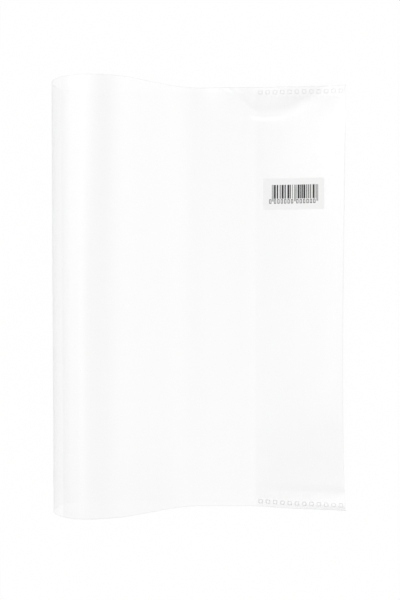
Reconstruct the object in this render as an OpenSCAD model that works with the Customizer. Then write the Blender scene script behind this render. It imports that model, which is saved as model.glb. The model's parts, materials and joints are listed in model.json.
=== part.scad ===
// Clear film cover for an exercise book, lying empty and closed on its back leaf.
// The film is one sheet: back leaf, rolled spine, front leaf and two flaps that are folded inwards and welded.
// The sheet is parted where it bends, so that the cover unrolls from closed to flat.
// X runs from the spine to the open edge, Y from the foot to the head of the book, and Z is up.

/* [Film] */
// Height of the cover, foot to head
film_h = 218; // [160:1:320]
// Thickness of the film
film_t = 0.2; // [0.1:0.05:0.3]
// Width of the sheet from open edge to open edge, unrolled, with its flaps folded in
spread_w = 330; // [310:1:420]
// Gap between two neighbouring strips of film at a bend
bend_gap = 0.3; // [0.2:0.05:0.5]

/* [Rolled spine] */
// Radius of the roll, to the middle of the film
roll_r = 19.2; // [14:0.2:24]

/* [Front leaf] */
// Radius of the crest, where the front leaf comes off the roll
crest_r = 38; // [25:1:50]
// Angle at which the front leaf slopes down from the crest
slope_a = 38; // [25:1:42]
// Length of the straight slope
slope_w = 20; // [12:1:24]
// Radius of the valley, where the front leaf levels out
valley_r = 32; // [20:1:40]
// Length of the level stretch beyond the valley
level_w = 22; // [15:1:40]
// Angle at which the edge of the front leaf lifts
lift_a = 9; // [4:1:15]

/* [Flaps] */
// Width of each flap, from the fold to its free edge
flap_w = 46; // [30:1:60]
// Film of the front leaf between the last bend and the flap's free edge
flap_margin = 4.2; // [2:0.2:10]
// Height of the pocket between a flap and its leaf
pocket_gap = 0.3; // [0.3:0.05:1]
// Height of the band at the head and foot of each flap that is welded to the leaf
band_h = 6; // [5:0.5:12]

/* [Weld marks] */
// Least film between the end of a row and the flap's fold or free edge
row_margin = 1.2; // [0.5:0.1:4]
// Distance from one mark to the next
mark_pitch = 3.75; // [3:0.05:4.2]
// Width of a mark along its row
mark_w = 2.3; // [1.5:0.1:2.8]
// Height of a mark across its row
mark_h = 2.2; // [1.5:0.1:3]
// Width of the ridge around each mark
mark_ridge = 0.5; // [0.3:0.05:0.7]
// Distance from the edge of the film to the middle of a row
mark_inset = 2.8; // [2:0.1:3.4]

/* [Label] */
// Width of the label
label_w = 31.4; // [15:0.2:34]
// Height of the label
label_h = 16.3; // [10:0.1:40]
// Radius of the label's corners
label_r = 0.7; // [0.5:0.1:3]
// Thickness of the label
label_t = 0.1; // [0.05:0.05:0.2]
// Distance from the fold to the label
label_from_fold = 10.9; // [2:0.1:12]
// Distance from the head of the film to the label
label_from_head = 47.4; // [10:0.1:100]

/* [Hidden] */
// Strips of film in the half turn of the roll, in the crest and in the valley
roll_strips = 6;
crest_strips = 2;
valley_strips = 2;
$fn = 96;

// A fold's radius to the middle of the film, and to its outside
fold_r = (pocket_gap + film_t) / 2;
fold_out = pocket_gap / 2 + film_t;

// Marks in each weld row, as many as the flap's width takes
mark_count = floor((flap_w - 2 * row_margin - mark_w) / mark_pitch) + 1;

// Stretches of the film from the roll to the last bend, each [radius, turn] or, with no turn, [length, 0]
half_turn = 180;
stretches = concat(
    [for (i = [1 : roll_strips]) [roll_r, -half_turn / roll_strips]],
    [for (i = [1 : crest_strips]) [crest_r, -slope_a / crest_strips]],
    [[slope_w, 0]],
    [for (i = [1 : valley_strips]) [valley_r, slope_a / valley_strips]],
    [[level_w, 0]]
);
function run(s) = s[1] == 0 ? s[0] : PI * s[0] * abs(s[1]) / half_turn;
function total(list, i = 0) = i == len(list) ? 0 : list[i] + total(list, i + 1);

// Where a stretch ends, as [x, z, heading], if it starts at p
function end_of(p, s) = s[1] == 0
    ? [p.x + s[0] * cos(p.z), p.y + s[0] * sin(p.z), p.z]
    : let (side = sign(s[1]) * s[0], a = p.z + s[1])
        [p.x + side * (sin(a) - sin(p.z)), p.y + side * (cos(p.z) - cos(a)), a];
// The i-th bend, counted from the one between the back leaf and the roll
function bend(i) = i == 0 ? [0, film_t / 2, half_turn] : end_of(bend(i - 1), stretches[i - 1]);
last_bend = len(stretches);

// Length of each leaf's edge zone up to its fold
front_fold_x = flap_margin + flap_w - fold_out;
front_w = total([for (s = stretches) run(s)]) + front_fold_x + fold_out;
back_fold_x = spread_w - front_w - fold_out;

// The box is centred on the origin: its ends are the roll and the further of the two folds
edge = bend(last_bend);
front_end_x = edge.x + front_fold_x * cos(lift_a) + fold_r * sin(lift_a) + fold_out;
back_end_x = back_fold_x + fold_out;
roll_end_x = -roll_r - film_t / 2;
mid_x = (roll_end_x + max(front_end_x, back_end_x)) / 2;

film_colour = [0.9, 0.93, 0.95, 0.35];
flap_colour = [0.82, 0.87, 0.9, 0.45];
weld_colour = [0.7, 0.75, 0.78, 0.7];
label_colour = [0.93, 0.93, 0.92];

// Frames of the leaves: x runs along the film to the open edge, and z points out of the cover
module at_bend(i, lift = 0) {
    b = bend(i);
    translate([b.x - mid_x, 0, b.y]) rotate([0, -b.z - lift, 0]) children();
}
module front_edge() {
    at_bend(last_bend, lift_a) children();
}
module back() {
    translate([-mid_x, 0, film_t / 2]) mirror([0, 0, 1]) children();
}

// Flat film from x0 to x1 and from y0 to y1, with its middle at height z
module film(x0, x1, y0, y1, z = 0) {
    translate([x0, y0, z - film_t / 2]) cube([x1 - x0, y1 - y0, film_t]);
}

// Film of the cover's full height, bent around an axis along Y from one angle to another
module bent_film(r, from, to) {
    rotate([90, 0, 0]) rotate([0, 0, from]) rotate_extrude(angle = to - from)
        translate([r - film_t / 2, -film_h / 2]) square([film_t, film_h]);
}

// The strip of film from one bend to the next, short of both by half the gap
module strip(i) {
    s = stretches[i];
    trim = bend_gap / 2;
    color(film_colour) at_bend(i) {
        if (s[1] == 0) {
            film(trim, s[0] - trim, -film_h / 2, film_h / 2);
        } else {
            side = sign(s[1]);
            trim_a = trim / s[0] * half_turn / PI;
            start = -90 * side;
            ends = [start + side * trim_a, start + s[1] - side * trim_a];
            translate([0, 0, side * s[0]]) bent_film(s[0], min(ends), max(ends));
        }
    }
}

// Pieces of a leaf's edge zone, where the film is folded inwards at fold_x
module leaf(fold_x) {
    color(film_colour) film(bend_gap / 2, fold_x, -film_h / 2, film_h / 2);
}
module fold(fold_x) {
    color(film_colour) translate([fold_x, 0, -fold_r]) bent_film(fold_r, -90, 90);
}
module flap(fold_x) {
    half_h = film_h / 2 - band_h - bend_gap;
    color(flap_colour) film(fold_x + fold_out - flap_w, fold_x - bend_gap, -half_h, half_h, -2 * fold_r);
}
module flap_band(fold_x, at_head) {
    y0 = at_head ? film_h / 2 - band_h : -film_h / 2;
    color(flap_colour) film(fold_x + fold_out - flap_w, fold_x, y0, y0 + band_h, -2 * fold_r);
}

// One weld mark: a ridge around a square, which joins flap and leaf across the pocket
module weld_mark() {
    inner = [mark_w - 2 * mark_ridge, mark_h - 2 * mark_ridge];
    linear_extrude(pocket_gap) difference() {
        square([mark_w, mark_h], center = true);
        square(inner, center = true);
    }
}
module weld_row(fold_x, at_head) {
    row_mid = fold_x + fold_out - flap_w / 2;
    row_y = (at_head ? 1 : -1) * (film_h / 2 - mark_inset);
    first_x = row_mid - mark_pitch * (mark_count - 1) / 2;
    color(weld_colour) for (i = [0 : mark_count - 1])
        translate([first_x + i * mark_pitch, row_y, -film_t / 2 - pocket_gap]) weld_mark();
}

// The label, a plate with round corners on the outside of the front leaf
module price_label() {
    inset = [label_w / 2 - label_r, label_h / 2 - label_r];
    x = front_fold_x + fold_out - label_from_fold - label_w / 2;
    y = film_h / 2 - label_from_head - label_h / 2;
    color(label_colour) front_edge() translate([x, y, film_t / 2]) linear_extrude(label_t) {
        square([label_w, 2 * inset.y], center = true);
        square([2 * inset.x, label_h], center = true);
        for (sx = [-1, 1], sy = [-1, 1])
            translate([sx * inset.x, sy * inset.y]) circle(label_r);
    }
}

back() leaf(back_fold_x);  // back_leaf
back() fold(back_fold_x);  // back_fold
back() flap(back_fold_x);  // back_flap
back() flap_band(back_fold_x, true);  // back_flap_head_band
back() flap_band(back_fold_x, false);  // back_flap_foot_band
back() weld_row(back_fold_x, true);  // back_head_welds
back() weld_row(back_fold_x, false);  // back_foot_welds
for (i = [1 : roll_strips])
    strip(i - 1);
for (i = [1 : crest_strips])
    strip(roll_strips + i - 1);
strip(roll_strips + crest_strips);  // slope_strip
for (i = [1 : valley_strips])
    strip(roll_strips + crest_strips + i);
strip(last_bend - 1);  // level_strip
front_edge() leaf(front_fold_x);  // front_edge_leaf
front_edge() fold(front_fold_x);  // front_fold
front_edge() flap(front_fold_x);  // front_flap
front_edge() flap_band(front_fold_x, true);  // front_flap_head_band
front_edge() flap_band(front_fold_x, false);  // front_flap_foot_band
front_edge() weld_row(front_fold_x, true);  // front_head_welds
front_edge() weld_row(front_fold_x, false);  // front_foot_welds
price_label();
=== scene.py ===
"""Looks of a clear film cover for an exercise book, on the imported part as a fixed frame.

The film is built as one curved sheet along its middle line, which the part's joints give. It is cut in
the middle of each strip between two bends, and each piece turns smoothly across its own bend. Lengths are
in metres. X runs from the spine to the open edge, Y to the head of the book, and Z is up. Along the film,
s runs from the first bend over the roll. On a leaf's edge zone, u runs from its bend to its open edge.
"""

import json
import math

import bmesh
import bpy
import numpy as np
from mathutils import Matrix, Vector


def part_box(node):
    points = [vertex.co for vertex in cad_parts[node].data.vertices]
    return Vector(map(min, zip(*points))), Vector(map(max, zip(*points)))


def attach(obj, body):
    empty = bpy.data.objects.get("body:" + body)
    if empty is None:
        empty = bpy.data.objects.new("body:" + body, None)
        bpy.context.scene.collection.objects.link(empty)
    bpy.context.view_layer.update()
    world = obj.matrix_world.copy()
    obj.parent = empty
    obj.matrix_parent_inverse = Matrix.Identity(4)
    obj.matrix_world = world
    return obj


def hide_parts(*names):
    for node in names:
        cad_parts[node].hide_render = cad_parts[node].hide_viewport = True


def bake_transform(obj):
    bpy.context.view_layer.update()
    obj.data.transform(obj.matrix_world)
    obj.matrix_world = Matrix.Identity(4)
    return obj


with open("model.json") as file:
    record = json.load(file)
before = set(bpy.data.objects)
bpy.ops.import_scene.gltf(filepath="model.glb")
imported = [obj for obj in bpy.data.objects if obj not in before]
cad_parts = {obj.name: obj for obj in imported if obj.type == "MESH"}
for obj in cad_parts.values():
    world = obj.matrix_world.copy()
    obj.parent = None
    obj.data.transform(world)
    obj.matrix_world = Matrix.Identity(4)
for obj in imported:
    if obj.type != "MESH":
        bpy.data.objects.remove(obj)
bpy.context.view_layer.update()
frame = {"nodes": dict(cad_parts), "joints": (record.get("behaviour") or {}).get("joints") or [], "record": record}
MM = 0.001

# Sizes of the film, from the frame
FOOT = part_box("back_leaf")[0].y
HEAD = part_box("back_leaf")[1].y
FILM_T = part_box("back_leaf")[1].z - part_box("back_leaf")[0].z
BAND_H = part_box("back_flap_head_band")[1].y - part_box("back_flap_head_band")[0].y
FLAP_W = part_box("back_fold")[1].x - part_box("back_flap_head_band")[0].x
FOLD_R = (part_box("back_fold")[1].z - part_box("back_fold")[0].z - FILM_T) / 2

# Steps of the film's meshes, where those of a flap near its fold are shares of its width
ARC_STEP = 1.2 * MM
FLAT_STEP = 1.8 * MM
ROW_STEP = 3.0 * MM
SEAM_STEPS = (0.0, 0.2 * MM, 0.6 * MM)
FLAP_STEPS = (0.0, 0.005, 0.015)
FOLD_STEPS = 9

# The cut edge of the film is rounded off over a short run, and rows are finer near it
EDGE_RUN = 0.4 * MM
EDGE_SLACK = 0.05 * MM
EDGE_THIN = 0.3
EDGE_STEPS = (0.0, 0.03 * MM, 0.1 * MM, 0.22 * MM, EDGE_RUN, 1.0 * MM, 2.0 * MM)
FINE_ROW_STEP = 1.5 * MM
FINE_FROM, FINE_TO = 3.5 * MM, 26 * MM
FINE_ROWS = tuple(np.arange(FINE_FROM, FINE_TO, FINE_ROW_STEP))

# The fold at the open edge is pinched flat at the welds and rounder between them, where it draws back
PINCH_R = 0.55 * FILM_T
OPEN_FOLD_R = 0.5 * MM
PINCH_LENGTH = 35 * MM
FOLD_BOW = 1.35 * MM
BOW_FOOT, BOW_HEAD = 0.8, 1.7
MOUTH_GAP = 0.5 * MM


def smooth(t):
    """A soft step from 0 to 1."""
    t = np.clip(t, 0.0, 1.0)
    return t * t * (3 - 2 * t)


def unsmooth(w):
    """Where the soft step has the value w."""
    return 0.5 - math.sin(math.asin(1 - 2 * w) / 3)


def between(v, start, end):
    """A soft step that is 0 at start and 1 at end."""
    return smooth((v - start) / (end - start))


def bump(v, centre, width):
    """A soft bump of height 1 around centre."""
    return np.exp(-(((v - centre) / width) ** 2))


# The film's middle line, from the back leaf over the roll to the front edge
joints = {j["name"]: j for j in frame["joints"]}
bends = [j for j in frame["joints"] if not j["name"].endswith("flap_lift")]
bend_at = [Vector(j["pos_m"]) for j in bends]

# A strip that turns by less is straight
LEAST_TURN = 1e-4


def line_of_film():
    """Headings, lengths and turns of the strips between bends, with arcs taken from their end points."""
    headings, lengths, turns = [math.pi], [], []
    for p, q in zip(bend_at, bend_at[1:]):
        chord = math.atan2(q.z - p.z, q.x - p.x)
        turn = 2 * (chord - headings[-1])
        is_arc = abs(turn) > LEAST_TURN
        bulge = turn / 2 / math.sin(turn / 2) if is_arc else 1.0
        headings.append(headings[-1] + turn)
        lengths.append((q - p).length * bulge)
        turns.append(turn if is_arc else 0.0)
    return headings, lengths, turns


headings, strip_lengths, strip_turns = line_of_film()
bend_s = np.concatenate([[0.0], np.cumsum(strip_lengths)])
front_fold = Vector(joints["front_flap_lift"]["pos_m"])
to_fold = front_fold - bend_at[-1]
LIFT = math.atan2(to_fold.z, to_fold.x) + math.asin(FOLD_R / to_fold.length)
FOLD_OUT = FOLD_R + FILM_T / 2
FRONT_W = math.sqrt(to_fold.length_squared - FOLD_R**2) + FOLD_OUT
BACK_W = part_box("back_fold")[1].x - bend_at[0].x

# Steps of the line, the length over which its bends are eased, and half the length of its sharp last bend
FINE = 0.25 * MM
EASE = 6 * MM
STEP_AT = 1e-6


def eased_line():
    """The line as (s, heading, x, z) in fine steps, eased so that no change of curvature shows."""
    s = np.arange(-BACK_W, bend_s[-1] + FRONT_W, FINE)
    sharp_s = [*bend_s[:-1], bend_s[-1] - STEP_AT, bend_s[-1] + STEP_AT]
    sharp = np.interp(s, sharp_s, [*headings, LIFT])
    kernel = np.ones(int(EASE / FINE)) / int(EASE / FINE)
    pad = len(kernel) // 2
    heading = np.convolve(np.pad(sharp, pad, mode="edge"), kernel, mode="same")[pad:-pad]
    half_way = (heading[1:] + heading[:-1]) / 2
    x = bend_at[0].x + BACK_W + np.concatenate([[0.0], np.cumsum(np.cos(half_way) * FINE)])
    z = bend_at[0].z + np.concatenate([[0.0], np.cumsum(np.sin(half_way) * FINE)])
    return s, heading, x, z


def settled(s, x, z):
    """The eased line's x and z, shifted little by little until its edge zone lies on the part's."""
    at = bend_s[-1] + 2 * EASE
    goal = bend_at[-1] + Vector((math.cos(LIFT), 0, math.sin(LIFT))) * 2 * EASE
    share = np.clip(s / bend_s[-1], 0, 1)
    return x + share * (goal.x - np.interp(at, s, x)), z + share * (goal.z - np.interp(at, s, z))


line_s, line_heading, eased_x, eased_z = eased_line()
line_x, line_z = settled(line_s, eased_x, eased_z)


def on_line(s):
    """Points and outward normals of the middle line at s, as (x, z, nx, nz)."""
    h = np.interp(s, line_s, line_heading)
    return np.interp(s, line_s, line_x), np.interp(s, line_s, line_z), -np.sin(h), np.cos(h)


# Soft forms that the film has beside its middle line. A pair is where a soft step starts and where it ends.

# The edge zone sags between its last bend and its fold
EDGE_CURL = 1.2 * MM
CURL_EASE = 4 * MM

# The film at the head is pushed up as a tent, which ends along a line below the head
BUCKLE_START = (-27 * MM, -8 * MM)
BUCKLE_LEFT = (-12 * MM, 6 * MM)
BUCKLE_RIGHT = (48 * MM, 14 * MM)
BUCKLE_SLOPE = 0.2
BUCKLE_FLAT, BUCKLE_REACH = 3 * MM, 13.4 * MM

# A groove follows that line, deeper and narrower at its left end
RIM_LEFT = (-15 * MM, -6 * MM)
RIM_DIP, RIM_DIP_LEFT = 0.36 * MM, 0.85 * MM
RIM_WIDTH, RIM_WIDTH_LEFT = 3.5 * MM, 2.5 * MM
RIM_CHANGE = (6 * MM, -3 * MM)

# Left of the flap the tent stands free of the film below, and mirrors as film that is higher by this
LOOSE = 13 * MM
LOOSE_LEFT, LOOSE_RIGHT = (-14 * MM, -10 * MM), (6 * MM, 3 * MM)
LOOSE_EDGE = (1 * MM, -2 * MM)

# A wide dip at the head runs out to the foot, and the head corner at the open edge droops
DIP = 1.15 * MM
DIP_AT, DIP_WIDTH = 16 * MM, 32 * MM
DIP_ALONG = (13.4 * MM, 83.4 * MM)
DROOP = 1.55 * MM
DROOP_ACROSS, DROOP_ALONG = (28 * MM, 54 * MM), (4 * MM, 30 * MM)

# The edge zone falls to the foot, and its outer corner more. Its weld row is turned up beyond a fine
# crease, and its cut edge is turned down.
FOOT_FALL, FALL_ALONG = 0.45 * MM, (65 * MM, 100 * MM)
CORNER_FALL = 0.7 * MM
CORNER_ACROSS, CORNER_ALONG = (8 * MM, 44 * MM), (38 * MM, 92 * MM)
TURN_UP, TURN_UP_ALONG = 0.65 * MM, (100.5 * MM, 108 * MM)
TURN_DOWN, TURN_DOWN_ALONG = 0.6 * MM, (106 * MM, 110 * MM)
CREASE, CREASE_AT, CREASE_WIDTH = 0.16 * MM, 101 * MM, 2.4 * MM
CREASE_ACROSS = (3 * MM, 8 * MM)

# The roll is fuller near its top and flatter where it leaves the table, and its top runs on at the head
ROLL_FULL, ROLL_FULL_AT = 0.4 * MM, 54 * MM
ROLL_OFF, ROLL_OFF_AT = 0.6 * MM, 3 * MM
ROLL_FORM_WIDTH = 9 * MM
CROWN = 1.5 * MM
CROWN_FROM, CROWN_AT, CROWN_TO = 55 * MM, 72 * MM, 110 * MM
CROWN_ALONG = (-20 * MM, 110 * MM)

# Two faint swellings across the front leaf, each with its place, a slow sway and a slight rise to the head
SWELLS = ((0.08 * MM, 23 * MM), (0.06 * MM, -30 * MM))
SWELL_WIDTH = 1.6 * MM
SWAY = 0.2 * MM
SWAY_Y, SWAY_S = (31 * MM, 70 * MM), (45 * MM, 23 * MM)
HEAD_RISE, HEAD_RISE_ALONG = 0.1 * MM, (20 * MM, 80 * MM)
ON_FRONT, ON_EDGE = (20 * MM, 50 * MM), (-25 * MM, 25 * MM)

# The roll leans, and the film's foot isn't cut quite square
ROLL_SKEW, ROLL_SKEW_WIDTH = 0.5 * MM, 55 * MM
ROLL_MIDDLE_BEND = 3
FOOT_SKEW = 0.9 * MM
FOOT_SKEW_ACROSS, FOOT_SKEW_ALONG = (0, 26 * MM), (50 * MM, 105 * MM)


def edge_curl(s):
    """The front leaf's edge zone sags between its last bend and its fold."""
    u = s - bend_s[-1]
    eased = (np.sqrt(u * u + CURL_EASE**2) + u) / 2
    t = np.clip(eased / FRONT_W, 0, 1)
    return -EDGE_CURL * 4 * t * (1 - t)


def buckle_line(u):
    """How far below the head the buckled film ends."""
    return BUCKLE_REACH * between(u, *BUCKLE_LEFT) * between(u, *BUCKLE_RIGHT)


def head_tent(u, below):
    """The welded band at the head is pushed up."""
    reach = BUCKLE_REACH * between(u, *BUCKLE_RIGHT) - np.maximum(below, BUCKLE_FLAT)
    return BUCKLE_SLOPE * np.maximum(reach, 0) * between(u, *BUCKLE_START)


def head_rim(u, below):
    """The groove along the end of the buckled film."""
    along = between(u, *RIM_LEFT) * between(u, *BUCKLE_RIGHT)
    left = between(u, *RIM_CHANGE)
    width = RIM_WIDTH + (RIM_WIDTH_LEFT - RIM_WIDTH) * left
    depth = RIM_DIP + (RIM_DIP_LEFT - RIM_DIP) * left
    return -depth * along * bump(below, buckle_line(u), width)


def head_form(u, below):
    """All that the front leaf does at its head."""
    dip = DIP * bump(u, DIP_AT, DIP_WIDTH) * (1 - between(below, *DIP_ALONG))
    droop = DROOP * between(u, *DROOP_ACROSS) * (1 - between(below, *DROOP_ALONG))
    return head_tent(u, below) + head_rim(u, below) - dip - droop


def foot_form(u, down):
    """All that the front leaf does towards its foot, which is down from the middle of the book."""
    fall = FOOT_FALL * between(down, *FALL_ALONG)
    corner = CORNER_FALL * between(u, *CORNER_ACROSS) * between(down, *CORNER_ALONG)
    turn_up = TURN_UP * between(down, *TURN_UP_ALONG)
    turn_down = TURN_DOWN * between(down, *TURN_DOWN_ALONG)
    crease = CREASE * bump(down, CREASE_AT, CREASE_WIDTH) * between(u, *CREASE_ACROSS)
    return turn_up - fall - corner - turn_down - crease


def roll_form(s, y):
    """All that the roll does beside its round shape."""
    full = ROLL_FULL * bump(s, ROLL_FULL_AT, ROLL_FORM_WIDTH)
    off = ROLL_OFF * bump(s, ROLL_OFF_AT, ROLL_FORM_WIDTH)
    over = between(s, CROWN_FROM, CROWN_AT) - between(s, CROWN_AT, CROWN_TO)
    return full - off + CROWN * over * between(y, *CROWN_ALONG)


def dent(s, y):
    """How far the film stands off its middle line at s and y, outwards."""
    u = s - bend_s[-1]
    swell = sum(rise * bump(y, at, SWELL_WIDTH) for rise, at in SWELLS)
    sway = SWAY * np.sin(y / SWAY_Y[0] + s / SWAY_S[0]) * np.sin(s / SWAY_S[1] - y / SWAY_Y[1])
    head_rise = HEAD_RISE * between(y, *HEAD_RISE_ALONG)
    on_front = between(s, *ON_FRONT) * (head_form(u, HEAD - y) + swell + sway)
    on_edge = between(u, *ON_EDGE) * (foot_form(u, -y) + head_rise)
    return on_front + on_edge + edge_curl(s) + roll_form(s, y)


def loose_height(s, y):
    """How much higher the film counts at s and y, because it stands free."""
    u = s - bend_s[-1]
    inside = between(HEAD - y - buckle_line(u), *LOOSE_EDGE)
    return LOOSE * inside * between(u, *LOOSE_LEFT) * between(u, *LOOSE_RIGHT)


def skew(s, y):
    """How far the roll leans to the open edge from head to foot."""
    return -ROLL_SKEW * y / HEAD * bump(s, bend_s[ROLL_MIDDLE_BEND], ROLL_SKEW_WIDTH)


def askew(s, y):
    """How far the foot of the edge zone hangs out, because the film isn't cut quite square."""
    return -FOOT_SKEW * between(s - bend_s[-1], *FOOT_SKEW_ACROSS) * between(-y, *FOOT_SKEW_ALONG)


def fold_share(y):
    """0 where the fold is pinched by the welds, 1 well away from them."""
    return smooth((HEAD - BAND_H - np.abs(y)) / PINCH_LENGTH)


def fold_bow(y):
    """How far the open edge draws back between its corners, as a share of the most, nearer the foot."""
    t = np.clip((y - FOOT) / (HEAD - FOOT), 0, 1)
    most_at = BOW_FOOT / (BOW_FOOT + BOW_HEAD)
    most = most_at**BOW_FOOT * (1 - most_at) ** BOW_HEAD
    return t**BOW_FOOT * (1 - t) ** BOW_HEAD / most


# Meshes
def edge_half(distance):
    """Half the film's thickness at a distance from its cut edge."""
    across = np.clip(1 - np.asarray(distance) / EDGE_RUN, 0, 1)
    return FILM_T / 2 * (EDGE_THIN + (1 - EDGE_THIN) * np.sqrt(1 - across**2))


def is_cut_edge(distance):
    """Whether a point at a distance from the cut edge is on its rounded run."""
    return distance < EDGE_RUN + EDGE_SLACK


def to_end(y):
    """The distance from y to the nearer of the film's head and foot."""
    return np.minimum(y - FOOT, HEAD - y)


def spaced(start, end, step, start_steps=(0.0,), end_steps=(0.0,)):
    """Values from start to end about a step apart, with finer steps in the third next to each end."""
    size = abs(end - start)
    near = [d for d in start_steps if d < size / 3]
    far = [size - d for d in end_steps if d < size / 3]
    inner = max(1, round((far[-1] - near[-1]) / step))
    middle = np.linspace(near[-1], far[-1], inner + 1)[1:-1]
    return start + math.copysign(1, end - start) * np.array([*near, *middle, *far[::-1]])


ROWS = spaced(FOOT, HEAD, ROW_STEP, EDGE_STEPS + FINE_ROWS, EDGE_STEPS + FINE_ROWS)
ROW_HALF = edge_half(to_end(ROWS))

# Rows of a flap's free film from its middle, and of the band that is welded to the leaf
FLAP_ROWS = spaced(0, HEAD - BAND_H, ROW_STEP, SEAM_STEPS, SEAM_STEPS + FINE_ROWS)
BAND_ROWS = spaced(HEAD - BAND_H, HEAD, FINE_ROW_STEP, SEAM_STEPS, EDGE_STEPS)


def mesh_from(name, bm):
    """A mesh of what bm holds, which is freed."""
    mesh = bpy.data.meshes.new(name)
    bm.to_mesh(mesh)
    bm.free()
    return mesh


def new_object(name, mesh, *materials):
    """An object in the scene, with its materials."""
    piece = bpy.data.objects.new(name, mesh)
    bpy.context.scene.collection.objects.link(piece)
    for material in materials:
        mesh.materials.append(material)
    return piece


# Each point of the film keeps how high it stands over the table when the cover lies closed
HEIGHT = "height"

# Places of a piece's materials: the film itself, its cut edges and its seams with other pieces
FILM_SLOT, EDGE_SLOT, SEAM_SLOT = 0, 1, 2


def add_sides(bm, sides, on_edge):
    """The faces of both sides of a sheet."""
    count_s, count_y = on_edge.shape
    for i in range(count_s - 1):
        for j in range(count_y - 1):
            for grid, turn in zip(sides, (1, -1)):
                corners = [grid[i][j], grid[i + 1][j], grid[i + 1][j + 1], grid[i][j + 1]]
                face = bm.faces.new(corners[::turn])
                face.smooth = True
                at_edge = on_edge[i, j] and on_edge[i + 1, j + 1]
                face.material_index = EDGE_SLOT if at_edge else FILM_SLOT


def add_rims(bm, sides, on_edge, last_slot):
    """The faces between both sides of a sheet: rounded into them at a cut edge, and sharp at a seam."""
    outer, inner = sides
    end_s, end_y = on_edge.shape[0] - 1, on_edge.shape[1] - 1
    rims = [((i, j), (i, j + 1), turn) for i, turn in ((0, -1), (end_s, 1)) for j in range(end_y)]
    rims += [((i, j), (i + 1, j), turn) for j, turn in ((0, 1), (end_y, -1)) for i in range(end_s)]
    for (i, j), (k, m), turn in rims:
        face = bm.faces.new([outer[i][j], inner[i][j], inner[k][m], outer[k][m]][::turn])
        face.smooth = bool(on_edge[i, j] and on_edge[k, m])
        face.material_index = min(EDGE_SLOT if face.smooth else SEAM_SLOT, last_slot)
        if not face.smooth:
            for grid in sides:
                bm.edges.get((grid[i][j], grid[k][m])).smooth = False


def shell(name, middle, normal, half, on_edge, materials, loose=0.0):
    """A closed sheet around a grid of middle points, half a thickness to each side of it.

    Points in on_edge belong to a cut edge, and a point that stands loose counts as higher by that.
    """
    normal = normal / np.linalg.norm(normal, axis=2, keepdims=True)
    offset = normal * half[:, :, None]
    bm = bmesh.new()
    sides = []
    for surface in (middle + offset, middle - offset):
        sides.append([[bm.verts.new(point) for point in row] for row in surface])
    add_sides(bm, sides, on_edge)
    add_rims(bm, sides, on_edge, len(materials) - 1)
    bm.normal_update()
    mesh = mesh_from(name, bm)
    height = mesh.attributes.new(HEIGHT, "FLOAT", "POINT")
    stand = np.tile(np.broadcast_to(loose, half.shape).ravel(), len(sides))
    height.data.foreach_set("value", stand + [vert.co.z for vert in mesh.vertices])
    return new_object(name, mesh, *materials)


def grid_normals(middle, like):
    """Normals of a grid of points, on the same side as the vectors like."""
    along = np.gradient(middle, axis=0)
    across = np.gradient(middle, axis=1)
    normal = np.cross(along, across)
    flip = np.sign((normal * like).sum(axis=2, keepdims=True))
    return normal * np.where(flip == 0, 1, flip)


def film_strip(name, s0, s1, step, materials):
    """A piece of the film along the middle line from s0 to s1, as high as the cover."""
    s = spaced(s0, s1, step, SEAM_STEPS, SEAM_STEPS)
    grid_s, grid_y = np.meshgrid(s, ROWS, indexing="ij")
    x, z, nx, nz = on_line(grid_s)
    out = dent(grid_s, grid_y)
    across = grid_y + askew(grid_s, grid_y)
    middle = np.stack([x + nx * out + skew(grid_s, grid_y), across, z + nz * out], axis=2)
    like = np.stack([nx, np.zeros_like(nx), nz], axis=2)
    half = np.broadcast_to(ROW_HALF, grid_s.shape)
    on_edge = is_cut_edge(to_end(grid_y))
    loose = loose_height(grid_s, grid_y)
    return shell(name, middle, grid_normals(middle, like), half, on_edge, materials, loose)


class Edge:
    """A leaf's edge zone: a flat frame whose u runs to the open edge, and n points out of the cover."""

    def __init__(self, bend, along, out, width, s_sign, s_at_bend, fold_r, bow):
        self.bend = np.array(bend)
        self.along = np.array(along)
        self.out = np.array(out)
        self.width = width
        self.s_sign = s_sign
        self.s_at_bend = s_at_bend
        self.fold_r = fold_r
        self.bow = bow

    def place(self, u, n, y):
        """Points at u, n and y, with the film's dents."""
        s = self.s_at_bend + self.s_sign * u
        n = n + dent(s, y)
        point = self.bend + u[..., None] * self.along + n[..., None] * self.out
        point[..., 1] = y + askew(s, y)
        point[..., 0] += skew(s, y)
        return point

    def vector(self, u, n):
        """Directions with the parts u and n."""
        return u[..., None] * self.along + n[..., None] * self.out

    def fold_radius(self, y):
        """The fold's radius to the middle of the film."""
        return PINCH_R + (self.fold_r - PINCH_R) * fold_share(y)

    def fold_start(self, y):
        """Where the fold begins, measured from the bend."""
        return self.width - self.bow * fold_bow(y) - self.fold_radius(y)


front_edge = Edge(
    bend=bend_at[-1], along=(math.cos(LIFT), 0, math.sin(LIFT)), out=(-math.sin(LIFT), 0, math.cos(LIFT)),
    width=FRONT_W, s_sign=1, s_at_bend=bend_s[-1], fold_r=OPEN_FOLD_R, bow=FOLD_BOW,
)
back_edge = Edge(
    bend=bend_at[0], along=(1, 0, 0), out=(0, 0, -1),
    width=BACK_W, s_sign=-1, s_at_bend=0.0, fold_r=PINCH_R, bow=0.0,
)


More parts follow.
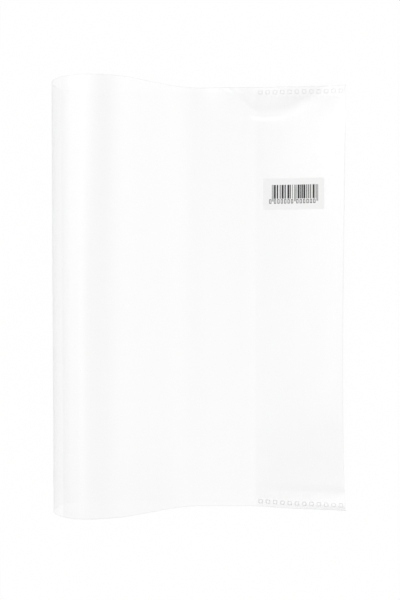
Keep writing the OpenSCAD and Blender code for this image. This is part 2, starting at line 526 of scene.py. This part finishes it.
def leaf_with_fold(name, edge, u0, materials):
    """The outer film of an edge zone from u0 to the open edge, and the fold that turns it inwards."""
    flat_end = edge.width - 2 * OPEN_FOLD_R
    flat = (spaced(u0, flat_end, FLAT_STEP, SEAM_STEPS) - u0) / (flat_end - u0)
    turns = np.linspace(0, math.pi, FOLD_STEPS)[1:]
    y = np.broadcast_to(ROWS, (len(flat) + len(turns), len(ROWS)))
    radius = edge.fold_radius(ROWS)
    start = edge.fold_start(ROWS)
    leaf_u = u0 + flat[:, None] * (start - u0)[None, :]
    turn_u = start + np.sin(turns)[:, None] * radius
    turn_n = -(1 - np.cos(turns))[:, None] * radius
    u = np.concatenate([leaf_u, turn_u])
    n = np.concatenate([np.zeros_like(leaf_u), turn_n])
    middle = edge.place(u, n, y)
    turn_of = np.concatenate([np.zeros(len(flat)), turns])[:, None] * np.ones(len(ROWS))
    like = edge.vector(np.sin(turn_of), np.cos(turn_of))
    half = np.broadcast_to(ROW_HALF, u.shape)
    return shell(name, middle, grid_normals(middle, like), half, is_cut_edge(to_end(y)), materials)


def flap_film(name, edge, y_line, materials):
    """A piece of a flap from its fold to its free edge, over the rows of y_line."""
    radius = edge.fold_radius(y_line)
    start = edge.fold_start(y_line)
    free = edge.width - FLAP_W
    share_u = spaced(0, 1, FLAT_STEP / FLAP_W, FLAP_STEPS, tuple(d / FLAP_W for d in EDGE_STEPS))
    u = start[None, :] + share_u[:, None] * (free - start)[None, :]
    y = np.broadcast_to(y_line, u.shape)
    mouth = PINCH_R * 2 + (MOUTH_GAP + FILM_T - PINCH_R * 2) * fold_share(y_line)
    depth = 2 * radius[None, :] + smooth(share_u)[:, None] * (mouth - 2 * radius)[None, :]
    middle = edge.place(u, -depth, y)
    like = np.broadcast_to(-edge.out, middle.shape)
    to_edge = np.minimum(u - free, HEAD - np.abs(y))
    normal = grid_normals(middle, like)
    return shell(name, middle, normal, edge_half(to_edge), is_cut_edge(to_edge), materials)


# Materials
def feed(tree, socket, value):
    """Sets an input to a value, or links it to a socket."""
    if isinstance(value, bpy.types.NodeSocket):
        tree.links.new(value, socket)
    else:
        socket.default_value = value


def add(tree, kind, **inputs):
    """A node with its inputs set by name."""
    made = tree.nodes.new(kind)
    for key, value in inputs.items():
        feed(tree, made.inputs[key.replace("_", " ")], value)
    return made


def math_node(tree, operation, *values):
    """The result of an operation on values or sockets."""
    made = tree.nodes.new("ShaderNodeMath")
    made.operation = operation
    for socket, value in zip(made.inputs, values):
        feed(tree, socket, value)
    return made.outputs[0]


def spread(tree, value, low, high):
    """A value from 0 to 1, spread from low to high."""
    return add(tree, "ShaderNodeMapRange", Value=value, To_Min=low, To_Max=high).outputs[0]


def soft_step(tree, value, start, end, low=0.0, high=1.0):
    """A soft rise from low to high while a value goes from start to end."""
    step = add(
        tree, "ShaderNodeMapRange", Value=value, From_Min=start, From_Max=end, To_Min=low, To_Max=high
    )
    step.interpolation_type = "SMOOTHSTEP"
    return step.outputs[0]


def mix_shaders(tree, share, first, second):
    """The first shader, with the second one in its place by a share."""
    mix = tree.nodes.new("ShaderNodeMixShader")
    for socket, source in zip(mix.inputs, (share, first, second)):
        tree.links.new(source, socket)
    return mix.outputs[0]


def grey(level):
    """A grey or white colour."""
    return (level, level, level, 1)


def new_material(name):
    """A material with only an output, as (material, tree, output)."""
    material = bpy.data.materials.new(name)
    material.use_nodes = True
    tree = material.node_tree
    tree.nodes.clear()
    return material, tree, tree.nodes.new("ShaderNodeOutputMaterial")


# Film that lies on the table hardly mirrors
CLING_FROM, CLING_FULL = 1 * MM, 22 * MM
CLING_SHARE = 0.1

# How fast the film's mirroring grows to a glance, and how rough a weld is
GLANCE = 5.0
WELD_ROUGHNESS = 0.15

# Fine unevenness of the film and of paper: noise scale, its detail, and how deep or how strong it is
WAVE_SCALE, WAVE_DETAIL, WAVE_DEPTH = 55.0, 2.0, 2 * MM
SCUFF_SCALE, SCUFF_DETAIL, SCUFF_SPREAD = 420.0, 4.0, 0.4
FIBRE_SCALE, FIBRE_DETAIL, FIBRE_DEPTH = 2600.0, 5.0, 0.1 * MM
FIBRE_STRENGTH = 0.15

# Sockets of a mix node that mixes colours
MIX_FIRST, MIX_SECOND, MIX_RESULT = 6, 7, 2


def noise(tree, scale, detail):
    """Noise that stays on the object."""
    place = tree.nodes.new("ShaderNodeTexCoord").outputs["Object"]
    return add(tree, "ShaderNodeTexNoise", Vector=place, Scale=scale, Detail=detail).outputs["Fac"]


def film_mirror(tree, facing, reflectance, shine):
    """The share of light that film mirrors: more at a glance, and less where it lies on the table."""
    glance = math_node(tree, "POWER", facing, GLANCE)
    above = tree.nodes.new("ShaderNodeAttribute")
    above.attribute_name = HEIGHT
    low = CLING_SHARE * reflectance
    free = soft_step(tree, above.outputs["Fac"], CLING_FROM, CLING_FULL, low, reflectance)
    mirror = math_node(tree, "MULTIPLY_ADD", glance, 1 - reflectance, free)
    return math_node(tree, "MULTIPLY", mirror, shine)


def film_gloss(tree, roughness, waves):
    """The mirror itself, faintly scuffed and wavy."""
    wave = noise(tree, WAVE_SCALE, WAVE_DETAIL)
    ripple = add(tree, "ShaderNodeBump", Height=wave, Strength=waves, Distance=WAVE_DEPTH).outputs["Normal"]
    scuff = noise(tree, SCUFF_SCALE, SCUFF_DETAIL)
    dull = spread(tree, scuff, roughness * (1 - SCUFF_SPREAD), roughness * (1 + SCUFF_SPREAD))
    return add(tree, "ShaderNodeBsdfGlossy", Roughness=dull, Normal=ripple, Color=grey(1)).outputs[0]


def clear_film(name, face_on, grazing, roughness, reflectance, waves=0.0, shine=1.0):
    """Clear soft film, which passes most light, and less where it is seen edge on."""
    material, tree, output = new_material(name)
    facing = add(tree, "ShaderNodeLayerWeight", Blend=0.5).outputs["Facing"]
    tint = add(tree, "ShaderNodeMix", Factor=facing)
    tint.data_type = "RGBA"
    tint.inputs[MIX_FIRST].default_value = grey(face_on)
    tint.inputs[MIX_SECOND].default_value = grey(grazing)
    clear = add(tree, "ShaderNodeBsdfTransparent", Color=tint.outputs[MIX_RESULT]).outputs[0]
    mirror = film_mirror(tree, facing, reflectance, shine)
    surface = mix_shaders(tree, mirror, clear, film_gloss(tree, roughness, waves))
    tree.links.new(surface, output.inputs["Surface"])
    return material


def weld_film(name, face_on, grazing, reflectance):
    """Film that is fused to a ridge, with a grey tint that is painted shade of the ridge."""
    return clear_film(name, face_on, grazing, WELD_ROUGHNESS, reflectance)


def paper(name, colour, roughness, grain):
    """Coated label paper with a faint grain."""
    material, tree, output = new_material(name)
    fibre = noise(tree, FIBRE_SCALE, FIBRE_DETAIL)
    tone = spread(tree, fibre, 1 - grain, 1 + grain)
    shade = add(tree, "ShaderNodeHueSaturation", Color=(*colour, 1), Value=tone).outputs[0]
    relief = add(tree, "ShaderNodeBump", Height=fibre, Strength=FIBRE_STRENGTH, Distance=FIBRE_DEPTH)
    normal = relief.outputs["Normal"]
    sheet = add(tree, "ShaderNodeBsdfPrincipled", Base_Color=shade, Roughness=roughness, Normal=normal)
    tree.links.new(sheet.outputs[0], output.inputs["Surface"])
    return material


film = clear_film("clear_film", face_on=0.9998, grazing=0.97, roughness=0.09, reflectance=0.05, waves=0.1)
# The cut edges have a darker tint than the film: painted shade for the dark line an edge shows. The front's edges
# get the darker copy. The back leaf, the low bends and the flaps get a lighter copy with less painted shade.
cut_edge = clear_film("film_cut_edge_painted_shade", face_on=0.98, grazing=0.95, roughness=0.2, reflectance=0.1)
lighter_shaded_edge = clear_film("film_soft_edge", face_on=0.998, grazing=0.99, roughness=0.2, reflectance=0.03)
seam = clear_film("film_seam", face_on=1.0, grazing=0.999, roughness=0.2, reflectance=0.0, shine=0.0)
# The weld ridges' grey tints are painted shade: darkest on the front foot row, as if the light falls from the
# head, lighter on the front head row, and palest on the back rows that lie on the table.
weld_darker_painted_shade_foot = weld_film("weld_ridge_foot_darker_painted_shade", face_on=0.93, grazing=0.82, reflectance=0.04)
weld_lighter_painted_shade_head = weld_film("weld_ridge_head_lighter_painted_shade", face_on=0.975, grazing=0.92, reflectance=0.05)
weld_on_table = weld_film("weld_ridge_lying", face_on=0.998, grazing=0.985, reflectance=0.01)
label_paper = paper("label_paper", colour=(0.9, 0.9, 0.897), roughness=0.55, grain=0.03)
label_ink = paper("label_ink", colour=(0.03, 0.03, 0.031), roughness=0.5, grain=0.2)
FRONT_FILM = (film, cut_edge, seam)
BACK_FILM = (film, lighter_shaded_edge, seam)

# The sheet is cut in the middle of each strip. A bend's zone is worked out so that both pieces there would
# turn the film by this share of the strip's own turn, which would bring the middle of an opened arc down to
# its chord, so that the film lies flat. The loop below works the zones out but doesn't use them.
SHARE = 0.2378

# How far a bend's turn runs into a straight strip, how far its film runs on to a leaf, and how many of the
# first bends lie low, where the cut edge hardly shows
STRAIGHT_REACH = 1.5 * MM
LEAF_REACH = 12 * MM
LOW_BENDS = 3


def bend_zone(i):
    """Where the film starts and ends to turn around a bend, measured along the film from it.

    At a seam in the middle of an arc, both pieces turn the film by the same share of the arc's own turn.
    """
    turns = [0.0, *map(abs, strip_turns), 0.0][i : i + 2]
    spans = [0.0, *strip_lengths, 0.0][i : i + 2]
    reach = [span / 2 if turn else STRAIGHT_REACH for span, turn in zip(spans, turns)]
    whole = sum(turns) / 2
    if whole == 0:
        return -EASE, EASE
    first, last = unsmooth(SHARE * turns[0] / whole), unsmooth(1 - SHARE * turns[1] / whole)
    length = sum(reach) / (last - first)
    return -reach[0] - first * length, reach[1] + (1 - last) * length


seams = [-LEAF_REACH, *(bend_s[:-1] + bend_s[1:]) / 2, bend_s[-1] + LEAF_REACH]
STRIP_NODES = [n for j in bends[:-1] for n in frame["record"]["behaviour"]["bodies"][j["child"]]]
for i, joint in enumerate(bends):
    materials = BACK_FILM if i < LOW_BENDS else FRONT_FILM
    piece = film_strip(f"film_{joint['name']}", seams[i], seams[i + 1], ARC_STEP, materials)
    start, end = bend_zone(i)
    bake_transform(piece)
    if i < len(STRIP_NODES):
        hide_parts(STRIP_NODES[i])

# Each leaf's edge zone with its fold, and its flap in two halves, each with its welded band
LEAVES = (
    ("front", front_edge, "front_edge", "front_edge_leaf", FRONT_FILM),
    ("back", back_edge, "back", "back_leaf", BACK_FILM),
)
for side, edge, body, leaf_node, materials in LEAVES:
    leaf = leaf_with_fold(f"film_{side}_leaf", edge, LEAF_REACH, materials)
    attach(leaf, body)
    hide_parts(leaf_node, f"{side}_fold")
    for end, sign in (("head", 1), ("foot", -1)):
        flap = flap_film(f"film_{side}_flap_{end}", edge, sign * FLAP_ROWS, BACK_FILM)
        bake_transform(flap)
        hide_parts(f"{side}_flap")
        band = flap_film(f"film_{side}_band_{end}", edge, sign * BAND_ROWS, BACK_FILM)
        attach(band, body)
        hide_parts(f"{side}_flap_{end}_band")

# Weld marks: rows of ridges around small squares, pressed into the film. One row fades to the open edge.
RIDGE_R = 0.24 * MM
RIDGE_SIDES = 8
CORNER_R = 0.3 * MM
CORNER_STEPS = 4
CORNERS = ((1, 1), (-1, 1), (-1, -1), (1, -1))
FADE = 0.5
FADE_FROM, FADE_FULL = 24 * MM, 44 * MM

# A mark's solid is a square with a square hole, so it has four edges along its row. Edges that agree to so
# many digits of a millimetre are one.
MARK_EDGES = 4
SAME_DIGITS = 2


def square_ring(width, height):
    """Points of a rectangle with round corners, and the outward direction at each."""
    ring = []
    for k, (sx, sy) in enumerate(CORNERS):
        corner = Vector((sx * (width / 2 - CORNER_R), sy * (height / 2 - CORNER_R)))
        for step in range(CORNER_STEPS + 1):
            a = (k + step / CORNER_STEPS) * math.pi / 2
            out = Vector((math.cos(a), math.sin(a)))
            ring.append((corner + out * CORNER_R, out))
    return ring


def add_ridge(bm, edge, ring, mid_u, mid_y, ridge_r):
    """A round ridge along a ring, on the film of an edge zone."""
    loops = []
    for point, out in ring:
        loop = []
        for side in range(RIDGE_SIDES):
            a = 2 * math.pi * side / RIDGE_SIDES
            u = mid_u + point.x + out.x * ridge_r * math.cos(a)
            y = mid_y + point.y + out.y * ridge_r * math.cos(a)
            place = edge.place(np.array(u), np.array(ridge_r * math.sin(a)), np.array(y))
            loop.append(bm.verts.new(place))
        loops.append(loop)
    for here, there in zip(loops, loops[1:] + loops[:1]):
        for side in range(RIDGE_SIDES):
            other = (side + 1) % RIDGE_SIDES
            bm.faces.new((here[side], there[side], there[other], here[other])).smooth = True


def weld_marks(name, node, edge, material, fade):
    """A ridge for each mark of a weld row, where the row's solids are. Fade thins them at the open edge."""
    corners = np.array([v.co for v in frame["nodes"][node].data.vertices])
    along_u = (corners - edge.bend) @ edge.along
    edges_u = np.unique(np.round(along_u / MM, SAME_DIGITS)) * MM
    width = edges_u[MARK_EDGES - 1] - edges_u[0]
    low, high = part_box(node)
    ring = square_ring(width - 2 * RIDGE_R, high.y - low.y - 2 * RIDGE_R)
    bm = bmesh.new()
    for u0 in edges_u[::MARK_EDGES]:
        ridge_r = RIDGE_R * (1 - fade * between(u0, FADE_FROM, FADE_FULL))
        add_ridge(bm, edge, ring, u0 + width / 2, (low.y + high.y) / 2, ridge_r)
    bmesh.ops.recalc_face_normals(bm, faces=bm.faces)
    return new_object(name, mesh_from(name, bm), material)


# Each row's leaf, end, material and fade. The materials are copies with painted shade, darker at the foot.
WELD_ROWS = (
    ("front", "head", weld_lighter_painted_shade_head, 0.0), ("front", "foot", weld_darker_painted_shade_foot, FADE),
    ("back", "head", weld_on_table, 0.0), ("back", "foot", weld_on_table, 0.0),
)
for side, end, weld, fade in WELD_ROWS:
    edge = front_edge if side == "front" else back_edge
    marks = weld_marks(f"weld_marks_{side}_{end}", f"{side}_{end}_welds", edge, weld, fade)
    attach(marks, "front_edge" if side == "front" else "back")
    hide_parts(f"{side}_{end}_welds")

# The label follows the film under it
label_node = frame["nodes"]["price_label"]
label_points = np.array([v.co for v in label_node.data.vertices]) - front_edge.bend
LABEL_U = ((label_points @ front_edge.along).min(), (label_points @ front_edge.along).max())
LABEL_N = ((label_points @ front_edge.out).min(), (label_points @ front_edge.out).max())
LABEL_Y = (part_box("price_label")[0].y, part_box("price_label")[1].y)
LABEL_R = 0.7 * MM
LABEL_STEP = 1.2 * MM
LABEL_ROWS = 15
LABEL_CORNER_POINTS = 6
LABEL_TURNS = np.linspace(0, math.pi / 2, LABEL_CORNER_POINTS)
LABEL_CORNER_STEPS = tuple(LABEL_R * (1 - np.cos(LABEL_TURNS)))


def label_sheet(name):
    """The label as a thin plate with round corners on the curved film."""
    u = spaced(LABEL_U[0], LABEL_U[1], LABEL_STEP, LABEL_CORNER_STEPS, LABEL_CORNER_STEPS)
    rows = np.linspace(0, 1, LABEL_ROWS)
    inset_u = np.clip(LABEL_R - np.minimum(u - LABEL_U[0], LABEL_U[1] - u), 0, LABEL_R)
    cut = LABEL_R - np.sqrt(np.maximum(LABEL_R**2 - inset_u**2, 0))
    y0 = LABEL_Y[0] + cut
    y = y0[:, None] + rows[None, :] * (LABEL_Y[1] - cut - y0)[:, None]
    grid_u = np.broadcast_to(u[:, None], y.shape)
    middle = front_edge.place(grid_u, np.full(y.shape, sum(LABEL_N) / 2), y)
    like = np.broadcast_to(front_edge.out, middle.shape)
    half = np.full(y.shape, (LABEL_N[1] - LABEL_N[0]) / 2)
    return shell(name, middle, grid_normals(middle, like), half, np.zeros(y.shape, bool), (label_paper,))


label = label_sheet("label")
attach(label, "front_edge")
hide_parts("price_label")

# The label's print: bars of chance widths, which stand for no code, in modules of one width
INK_T = 0.02 * MM
MODULE = 0.25 * MM
BAR_MODULES = (1, 2, 2, 3, 4)
GAP_MODULES = (1, 1, 2, 2, 3)
BAR_SEED = 7
PRINT_W = 95 * MODULE
PRINT_SHIFT = 0.7 * MM
PRINT_TOP = 3.4 * MM
BAR_H = 7.2 * MM
GUARD_W, GUARD_H = 3 * MODULE, 8.6 * MM

# Small hollow blocks stand under the bars in place of figures: one before the bars, and six to each half
BLOCK_W, BLOCK_H = 1.1 * MM, 2.2 * MM
BLOCK_STROKE = 0.3 * MM
BLOCK_DROP = 7.5 * MM
BLOCK_PITCH = 7 * MODULE
BLOCKS = 6


def chance_bars(start, end, chance):
    """Bars of chance widths with chance gaps from start to end, each as its place and width."""
    made = []
    u = start
    while u < end:
        width = min(MODULE * chance.choice(BAR_MODULES), end - u)
        made.append((u, width))
        u += width + MODULE * chance.choice(GAP_MODULES)
    return made


def hollow_block(middle):
    """Four strokes around an empty block, each as its left, width, drop from the print's top and height."""
    left = middle - BLOCK_W / 2
    inner = BLOCK_W - 2 * BLOCK_STROKE
    return [
        (left, BLOCK_STROKE, BLOCK_DROP, BLOCK_H),
        (left + BLOCK_W - BLOCK_STROKE, BLOCK_STROKE, BLOCK_DROP, BLOCK_H),
        (left + BLOCK_STROKE, inner, BLOCK_DROP, BLOCK_STROKE),
        (left + BLOCK_STROKE, inner, BLOCK_DROP + BLOCK_H - BLOCK_STROKE, BLOCK_STROKE),
    ]


def print_boxes():
    """All that is printed: longer bars in pairs at the ends and the middle, chance bars and blocks."""
    chance = np.random.default_rng(BAR_SEED)
    guards = (0.0, (PRINT_W - GUARD_W) / 2, PRINT_W - GUARD_W)
    boxes = hollow_block(-BLOCK_PITCH / 2)
    for left in guards:
        boxes += [(left, MODULE, 0.0, GUARD_H), (left + GUARD_W - MODULE, MODULE, 0.0, GUARD_H)]
    for left, right in zip(guards, guards[1:]):
        start = left + GUARD_W
        inner_bars = chance_bars(start + MODULE, right - MODULE, chance)
        boxes += [(u, width, 0.0, BAR_H) for u, width in inner_bars]
        for i in range(BLOCKS):
            boxes += hollow_block(start + (i + 0.5) * BLOCK_PITCH)
    return boxes


def label_print(name):
    """The print as thin boxes of ink on the curved label."""
    u0 = (LABEL_U[0] + LABEL_U[1] - PRINT_W) / 2 + PRINT_SHIFT
    top = LABEL_Y[1] - PRINT_TOP
    bm = bmesh.new()
    for left, width, drop, height in print_boxes():
        cube = bmesh.ops.create_cube(bm, size=1.0)["verts"]
        for vert in cube:
            u = u0 + left + (vert.co.x + 0.5) * width
            n = LABEL_N[1] + vert.co.z * INK_T
            y = top - drop - height * (0.5 - vert.co.y)
            vert.co = front_edge.place(np.array(u), np.array(n), np.array(y))
    return new_object(name, mesh_from(name, bm), label_ink)


bars = label_print("label_print")
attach(bars, "front_edge")

# Stage: a plain white floor, a soft studio and the camera straight above, which sees through many layers
FLOOR_SIZE = 4.0
FLOOR_DROP = 1.2 * MM
FLOOR_GREY = 0.92
FLOOR_WHITE = 0.97
FLOOR_GLEAM = 0.5
CAMERA_HEIGHT = 463 * MM
CAMERA_LENS = 52.0
CAMERA_AT = (0.0, -1.6 * MM)
LAYERS_SEEN = 64


def white_ground(name):
    """A floor that looks white all over, and is dimmer where the film mirrors it."""
    material, tree, output = new_material(name)
    ray = tree.nodes.new("ShaderNodeLightPath").outputs
    plain = add(tree, "ShaderNodeBsdfDiffuse", Color=grey(FLOOR_GREY)).outputs[0]
    white = add(tree, "ShaderNodeEmission", Color=grey(1), Strength=1.0).outputs[0]
    share = math_node(tree, "MULTIPLY", ray["Is Glossy Ray"], FLOOR_GLEAM)
    share = math_node(tree, "MULTIPLY_ADD", ray["Is Camera Ray"], FLOOR_WHITE, share)
    tree.links.new(mix_shaders(tree, share, plain, white), output.inputs["Surface"])
    return material


floor_mesh = bpy.data.meshes.new("floor")
corner = FLOOR_SIZE / 2
floor_corners = [(-corner, -corner, 0), (corner, -corner, 0), (corner, corner, 0), (-corner, corner, 0)]
floor_mesh.from_pydata(floor_corners, [], [(0, 1, 2, 3)])
floor = new_object("floor", floor_mesh, white_ground("white_ground"))
floor.location.z = -FLOOR_DROP

# Light of the studio across the book: degrees from straight up to the open edge, level, gain to the head
STUDIO = (
    (-90, 0.66, 0.7), (-74, 0.78, 0.8), (-52, 0.94, 1.0), (-32, 0.9, 1.1), (-20, 1.06, 0.7),
    (-13, 0.93, 0.5), (-8, 0.79, 0.4), (-3, 0.6, 0.2), (2, 0.5, 0.0), (9, 0.46, 0.0),
    (17, 0.42, 0.0), (26, 0.48, 0.0), (36, 0.7, 0.3), (46, 0.84, 0.6), (60, 0.92, 0.7),
    (75, 0.9, 0.7), (90, 0.86, 0.7),
)
STUDIO_TOP = 2.0
HALF_TURN = 180

# A bright strip of light towards the head, a dim studio beyond it, and a dim studio towards the foot. Each
# has where it sets in along Y, where it is full, and its level.
STRIP = (0.31, 0.42, 2.4)
PAST_HEAD = (0.42, 0.52, 0.45)
PAST_FOOT = (-0.12, -0.4, 0.35)


def wall_light(tree, x, y, z):
    """The studio's level across the book, with its gain to the head, which a ramp keeps as red and green."""
    turn = math_node(tree, "MULTIPLY_ADD", math_node(tree, "ARCTAN2", x, z), 1 / math.pi, 0.5)
    walls = add(tree, "ShaderNodeValToRGB", Fac=turn)
    stops = walls.color_ramp.elements
    while len(stops) < len(STUDIO):
        stops.new(0.5)
    for stop, (angle, light, gain) in zip(stops, STUDIO):
        stop.position = angle / HALF_TURN + 0.5
        stop.color = (light / STUDIO_TOP, gain / STUDIO_TOP, 0, 1)
    walls.color_ramp.interpolation = "EASE"
    stored = add(tree, "ShaderNodeSeparateColor", Color=walls.outputs["Color"]).outputs
    to_head = math_node(tree, "MULTIPLY", math_node(tree, "MULTIPLY", stored["Green"], STUDIO_TOP), y)
    level = math_node(tree, "MULTIPLY", stored["Red"], math_node(tree, "ADD", to_head, 1.0))
    return math_node(tree, "MULTIPLY", level, STUDIO_TOP)


def studio_world():
    """A pale studio that shows only in what mirrors it. All other light is plain white."""
    world = bpy.data.worlds.new("studio")
    world.use_nodes = True
    tree = world.node_tree
    tree.nodes.clear()
    way = tree.nodes.new("ShaderNodeTexCoord").outputs["Generated"]
    x, y, z = add(tree, "ShaderNodeSeparateXYZ", Vector=way).outputs
    level = wall_light(tree, x, y, z)
    for start, full, end_level in (STRIP, PAST_HEAD, PAST_FOOT):
        share = soft_step(tree, y, start, full)
        change = math_node(tree, "SUBTRACT", end_level, level)
        level = math_node(tree, "MULTIPLY_ADD", change, share, level)
    soft = add(tree, "ShaderNodeBackground", Color=grey(1), Strength=level).outputs[0]
    white = add(tree, "ShaderNodeBackground", Color=grey(1), Strength=1.0).outputs[0]
    mirrored = tree.nodes.new("ShaderNodeLightPath").outputs["Is Glossy Ray"]
    output = tree.nodes.new("ShaderNodeOutputWorld")
    tree.links.new(mix_shaders(tree, mirrored, white, soft), output.inputs["Surface"])
    return world


scene = bpy.context.scene
scene.world = studio_world()
scene.view_settings.view_transform = "Standard"
scene.cycles.transparent_max_bounces = LAYERS_SEEN

camera_data = bpy.data.cameras.new("camera")
camera_data.lens = CAMERA_LENS
camera = bpy.data.objects.new("camera", camera_data)
camera.location = (*CAMERA_AT, CAMERA_HEIGHT)
scene.collection.objects.link(camera)
scene.camera = camera
